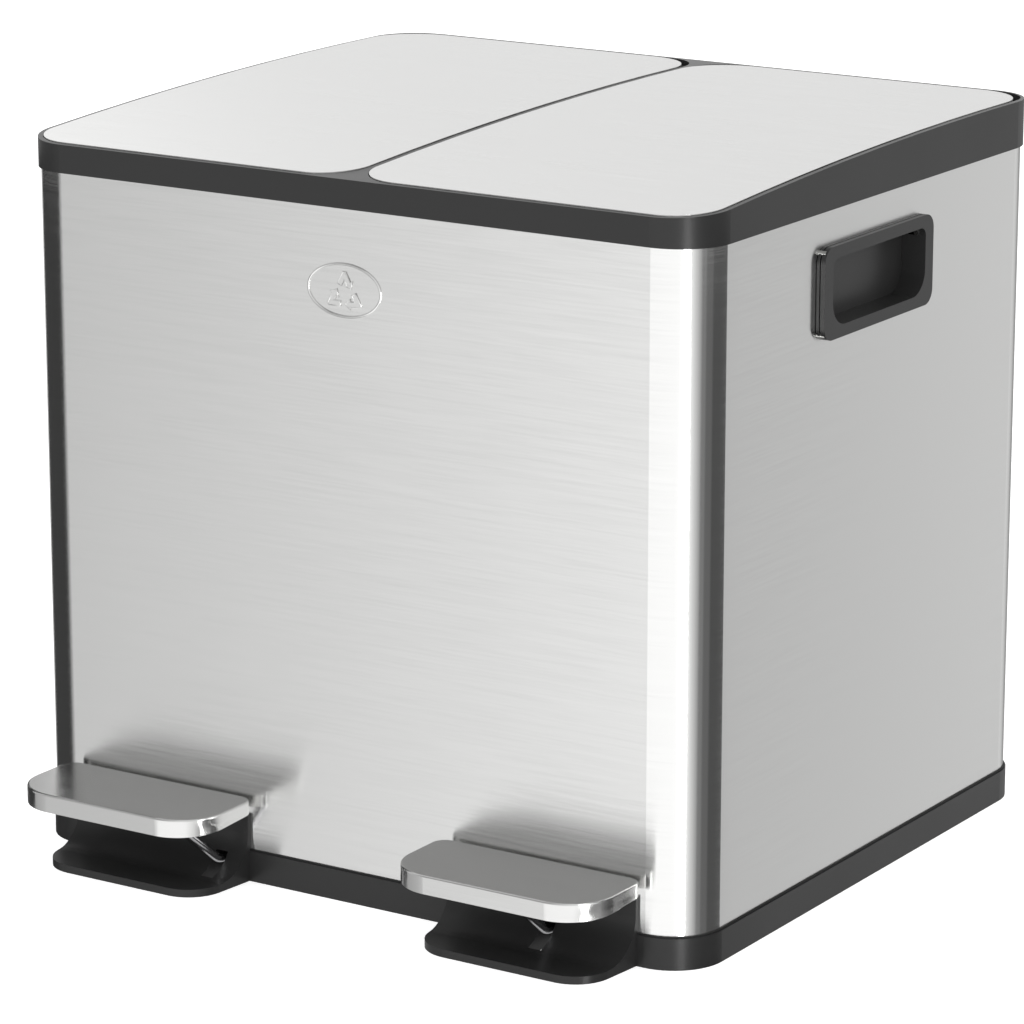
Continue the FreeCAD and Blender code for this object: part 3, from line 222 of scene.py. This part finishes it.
# turns a finished bmesh into an object of the scene
def finishPiece(name, shape):
    mesh = bpy.data.meshes.new(name)
    shape.to_mesh(mesh)
    shape.free()
    piece = bpy.data.objects.new(name, mesh)
    scene.collection.objects.link(piece)
    return piece


steelCorners = [Vector(corner) for corner in nodes["body_shell"].bound_box]
steelSide = max(corner.x for corner in steelCorners)
steelFront = -max(corner.y for corner in steelCorners)  # taken at the back: the mark stands out in front

# pressed mark: the raised lines have round backs, so each one shows a dark and a bright side
mark = {
    "height": 0.3233,
    "ringWidth": 0.0439,  # along the middle of the line
    "ringHeight": 0.0269,
    "ringLine": 0.00066,  # radius of the line's round back
    "ringSink": 0.0002,
    "ringPoints": 72,
    "arrowLine": 0.0004,
    "arrowSink": 0.0003,
    "arrowDrop": 0.0018,
    "arrowCircle": 0.010,  # from the middle to the corners of the triangle that the arrows follow
    "arrowBand": 0.0013,  # half the width of a shaft
    "arrowHead": 0.0027,  # half the width of a head
    "noseShare": 0.6,  # how far a shaft's outer edge runs past the corner, in half widths
    "tailShare": 0.35,  # where the tail ends and the head starts, along the triangle's side
    "neckShare": 0.3,
    "tipShare": 1.1,  # how far the head reaches past its start, in half widths of the head
}


# a closed line with a round section through the points
def roundLine(name, points, radius, material):
    curve = bpy.data.curves.new(name + "Path", "CURVE")
    curve.dimensions = "3D"
    curve.bevel_depth = radius
    curve.bevel_resolution = 3
    spline = curve.splines.new("POLY")
    spline.points.add(len(points) - 1)
    for point, place in zip(spline.points, points):
        point.co = (*place, 1)
    spline.use_cyclic_u = True
    path = bpy.data.objects.new(name + "Path", curve)
    scene.collection.objects.link(path)
    mesh = bpy.data.meshes.new_from_object(path.evaluated_get(bpy.context.evaluated_depsgraph_get()))
    bpy.data.objects.remove(path)
    mesh.name = name
    piece = bpy.data.objects.new(name, mesh)
    scene.collection.objects.link(piece)
    mesh.materials.clear()
    mesh.materials.append(material)
    for face in mesh.polygons:
        face.use_smooth = True
    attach(piece, "root")


ring = []
for step in range(mark["ringPoints"]):
    angle = math.radians(step * 360 / mark["ringPoints"])
    ring.append((mark["ringWidth"] / 2 * math.cos(angle), steelFront - mark["ringSink"],
                 mark["height"] + mark["ringHeight"] / 2 * math.sin(angle)))
roundLine("markRing", ring, mark["ringLine"], finishes["burnished"])

# one arrow bends round the top corner of the triangle, and the others are the same one turned
circle, band, head = mark["arrowCircle"], mark["arrowBand"], mark["arrowHead"]
triangleSide = circle * math.sqrt(3)
nose = -band * mark["noseShare"]
tail = triangleSide * mark["tailShare"]
neck = triangleSide * mark["neckShare"]
tip = neck + head * mark["tipShare"]
forward = Vector((math.cos(math.radians(-60)), math.sin(math.radians(-60))))
backward = Vector((-forward.x, forward.y))
right = Vector((-forward.y, forward.x))
left = Vector((-right.x, right.y))
corner = Vector((0, circle))
outline = [corner + backward * tail + left * band, corner + backward * nose + left * band,
           corner + forward * nose + right * band, corner + forward * neck + right * band,
           corner + forward * neck + right * head, corner + forward * tip,
           corner + forward * neck - right * head, corner + forward * neck - right * band,
           corner - Vector((0, 2 * band)), corner + backward * tail - left * band]
for number in range(3):
    turn = math.radians(120 * number)
    arrow = []
    for point in outline:
        across = point.x * math.cos(turn) - point.y * math.sin(turn)
        up = point.x * math.sin(turn) + point.y * math.cos(turn)
        arrow.append((across, steelFront - mark["arrowSink"], mark["height"] - mark["arrowDrop"] + up))
    roundLine("markArrow" + str(number + 1), arrow, mark["arrowLine"], finishes["burnished"])

# seal: a dark rubber lip that closes the joint between the steel and the plinth, and also painted shade: its
# dark colour stands for the shadowed gap under the steel
shadeSeal = {
    "proud": 0.0009,  # how far the lip stands out from the steel
    "corner": 0.0279,
    "cornerSteps": 12,
    "low": 0.0164,
    "high": 0.0174,
    "wall": 0.0012,
}
shadeSealWidth = 2 * (steelSide + shadeSeal["proud"])
shadeSealDepth = 2 * (shadeSeal["proud"] - steelFront)
shape = bmesh.new()
bmesh.ops.create_cube(shape, size=1)
bmesh.ops.scale(shape, verts=shape.verts, vec=(shadeSealWidth, shadeSealDepth, shadeSeal["high"] - shadeSeal["low"]))
bmesh.ops.translate(shape, verts=shape.verts, vec=(0, 0, (shadeSeal["high"] + shadeSeal["low"]) / 2))
upright = [edge for edge in shape.edges if abs(edge.verts[0].co.z - edge.verts[1].co.z) > 1e-6]
bmesh.ops.bevel(shape, geom=upright, offset=shadeSeal["corner"], segments=shadeSeal["cornerSteps"], profile=0.5,
                affect="EDGES", material=-1)
bmesh.ops.delete(shape, geom=[face for face in shape.faces if abs(face.normal.z) > 0.5], context="FACES")
bmesh.ops.solidify(shape, geom=shape.faces, thickness=shadeSeal["wall"])
bmesh.ops.recalc_face_normals(shape, faces=shape.faces)
# the dark lip is partly a gasket and partly painted shade along the joint
shadeLip = finishPiece("plinthShadeSeal", shape)
shadeLip.data.materials.append(finishes["rubber"])
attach(shadeLip, "root")
print("new pieces done")

# studio: pale floor, white backdrop, soft light whose strength depends on its direction
studio = {
    # brightness by compass direction in degrees, seen by metal: 0 is +X, 90 is +Y
    "glowBelow": [(-180, 0.45), (-140, 0.60), (-129, 0.70), (-121, 1.12), (-117, 1.36), (-50, 1.36),
                  (-30, 1.00), (-12, 0.42), (0, 0.35), (40, 0.45), (60, 0.56), (65, 0.84), (76, 0.76),
                  (90, 0.36), (120, 0.36), (150, 0.45), (180, 0.45)],
    "glowAbove": [(-180, 0.90), (-150, 0.60), (-122, 0.38), (-95, 0.70), (-60, 0.95), (0, 0.70),
                  (90, 0.75), (110, 0.97), (122, 0.96), (127, 0.93), (132, 1.28), (180, 0.90)],
    "glowScale": 1.6,
    "plainGlow": 0.92,  # what the matt surfaces gather, the same from every side
    "horizonBlend": 0.06,
    "floorSize": 12,
    "floorShade": 0.82,
    "floorGlow": 0.72,  # what the camera sees on top of the lit floor, so that the ground is white
    # cards beside the front corners: both ends, heights and brightness. Dark ones shade, the strip glints.
    "cards": {"leftFlag": ((-0.275, -0.262), (-0.302, -0.165), (-0.1, 0.36), 0.05),
              "leftFlagBack": ((-0.262, -0.178), (-0.262, -0.135), (-0.1, 0.36), 0.05),
              "leftFill": ((-0.45, -0.05), (-0.45, 0.152), (0.10, 0.32), 0.60),
              "rightFlagEdge": ((0.3005, -0.186), (0.2995, -0.165), (-0.1, 0.36), 0.24),
              "rightFlagMiddle": ((0.2995, -0.165), (0.2925, -0.135), (-0.1, 0.36), 0.15),
              "rightFlag": ((0.2925, -0.135), (0.262, -0.070), (-0.1, 0.36), 0.09),
              "strip": ((0.354, -0.287), (0.324, -0.321), (-0.1, 0.36), 8.0)},
}


# brightness over the compass, from pairs of a direction in degrees and a strength
def glowRamp(tree, stops, angle):
    ramp = addNode(tree, "ShaderNodeValToRGB", links={"Fac": angle})
    elements = ramp.color_ramp.elements
    while len(elements) > 1:
        elements.remove(elements[-1])
    for index, (degrees, strength) in enumerate(stops):
        position = (degrees + 180) / 360
        element = elements[0] if index == 0 else elements.new(position)
        element.position = position
        level = strength / studio["glowScale"]
        element.color = (level, level, level, 1.0)
    return ramp


# metal sees the two ramps, matt surfaces gather one plain level, and the camera sees white
world = bpy.data.worlds.new("studio")
scene.world = world
world.use_nodes = True
tree = world.node_tree
tree.nodes.clear()
direction = addNode(tree, "ShaderNodeTexCoord")
parts = addNode(tree, "ShaderNodeSeparateXYZ", links={"Vector": direction.outputs["Generated"]})
bearing = addNode(tree, "ShaderNodeMath", {"operation": "ARCTAN2"})
tree.links.new(parts.outputs["Y"], bearing.inputs[0])
tree.links.new(parts.outputs["X"], bearing.inputs[1])
turned = addNode(tree, "ShaderNodeMapRange", values={"From Min": -math.pi, "From Max": math.pi},
                 links={"Value": bearing.outputs["Value"]})
below = glowRamp(tree, studio["glowBelow"], turned.outputs["Result"])
above = glowRamp(tree, studio["glowAbove"], turned.outputs["Result"])
rise = addNode(tree, "ShaderNodeMapRange", {"interpolation_type": "SMOOTHSTEP"},
               {"From Min": -studio["horizonBlend"], "From Max": studio["horizonBlend"]},
               {"Value": parts.outputs["Z"]})
glow = addNode(tree, "ShaderNodeMix", {"data_type": "RGBA"}, links={"Factor": rise.outputs["Result"],
               "A": below.outputs["Color"], "B": above.outputs["Color"]})
studioLight = addNode(tree, "ShaderNodeBackground", values={"Strength": studio["glowScale"]},
                      links={"Color": glow.outputs["Result"]})
white = addNode(tree, "ShaderNodeBackground", values={"Color": (1, 1, 1, 1), "Strength": 1.0})
ray = addNode(tree, "ShaderNodeLightPath")
plain = addNode(tree, "ShaderNodeBackground",
                values={"Color": (1, 1, 1, 1), "Strength": studio["plainGlow"]})
lit = addNode(tree, "ShaderNodeMixShader", links={"Fac": ray.outputs["Is Diffuse Ray"]})
tree.links.new(studioLight.outputs["Background"], lit.inputs[1])
tree.links.new(plain.outputs["Background"], lit.inputs[2])
seen = addNode(tree, "ShaderNodeMath", {"operation": "MAXIMUM"})
tree.links.new(ray.outputs["Is Camera Ray"], seen.inputs[0])
tree.links.new(ray.outputs["Is Transmission Ray"], seen.inputs[1])
backdrop = addNode(tree, "ShaderNodeMixShader", links={"Fac": seen.outputs["Value"]})
tree.links.new(lit.outputs["Shader"], backdrop.inputs[1])
tree.links.new(white.outputs["Background"], backdrop.inputs[2])
addNode(tree, "ShaderNodeOutputWorld", links={"Surface": backdrop.outputs["Shader"]})

bpy.ops.mesh.primitive_plane_add(size=studio["floorSize"], location=(0, 0, 0))
floor = bpy.context.object
floor.name = "floor"
floor.visible_glossy = False  # the soft studio light shows in the steel instead
floorMaterial, tree = startMaterial("paleFloor")
ray = addNode(tree, "ShaderNodeLightPath")
pale = addNode(tree, "ShaderNodeBsdfDiffuse", values={"Color": (*[studio["floorShade"]] * 3, 1)})
lift = addNode(tree, "ShaderNodeMath", {"operation": "MULTIPLY"}, links={0: ray.outputs["Is Camera Ray"]})
lift.inputs[1].default_value = studio["floorGlow"]
shine = addNode(tree, "ShaderNodeEmission", links={"Strength": lift.outputs["Value"]})
both = addNode(tree, "ShaderNodeAddShader")
tree.links.new(pale.outputs["BSDF"], both.inputs[0])
tree.links.new(shine.outputs["Emission"], both.inputs[1])
addNode(tree, "ShaderNodeOutputMaterial", links={"Surface": both.outputs["Shader"]})
floor.data.materials.append(floorMaterial)

for name, (start, end, heights, level) in studio["cards"].items():
    shape = bmesh.new()
    corners = [shape.verts.new((x, y, z)) for x, y in (start, end) for z in heights]
    shape.faces.new([corners[i] for i in (0, 1, 3, 2)])
    card = finishPiece(name, shape)
    cardMaterial, tree = startMaterial(name + "Card")
    felt = addNode(tree, "ShaderNodeEmission", values={"Color": (1, 1, 1, 1), "Strength": level})
    addNode(tree, "ShaderNodeOutputMaterial", links={"Surface": felt.outputs["Emission"]})
    card.data.materials.append(cardMaterial)
    card.visible_camera = False
    card.visible_diffuse = False
    card.visible_shadow = False
print("studio done")

# camera, at the photograph's angle
view = {
    "place": (1.30609, -2.05704, 0.81194),
    "turn": 0.571106,
    "dip": 0.257972,
    "focalPixels": 4671.6,
    "sensor": 36.0,
    "imagePixels": 1024,
    "farLimit": 50,
}
cameraData = bpy.data.cameras.new("camera")
cameraData.sensor_width = view["sensor"]
cameraData.lens = view["focalPixels"] * view["sensor"] / view["imagePixels"]
cameraData.clip_end = view["farLimit"]
camera = bpy.data.objects.new("camera", cameraData)
camera.location = Vector(view["place"])
camera.rotation_euler = Euler((math.pi / 2 - view["dip"], 0, view["turn"]), "XYZ")
scene.collection.objects.link(camera)
scene.camera = camera
scene.view_settings.view_transform = "Standard"
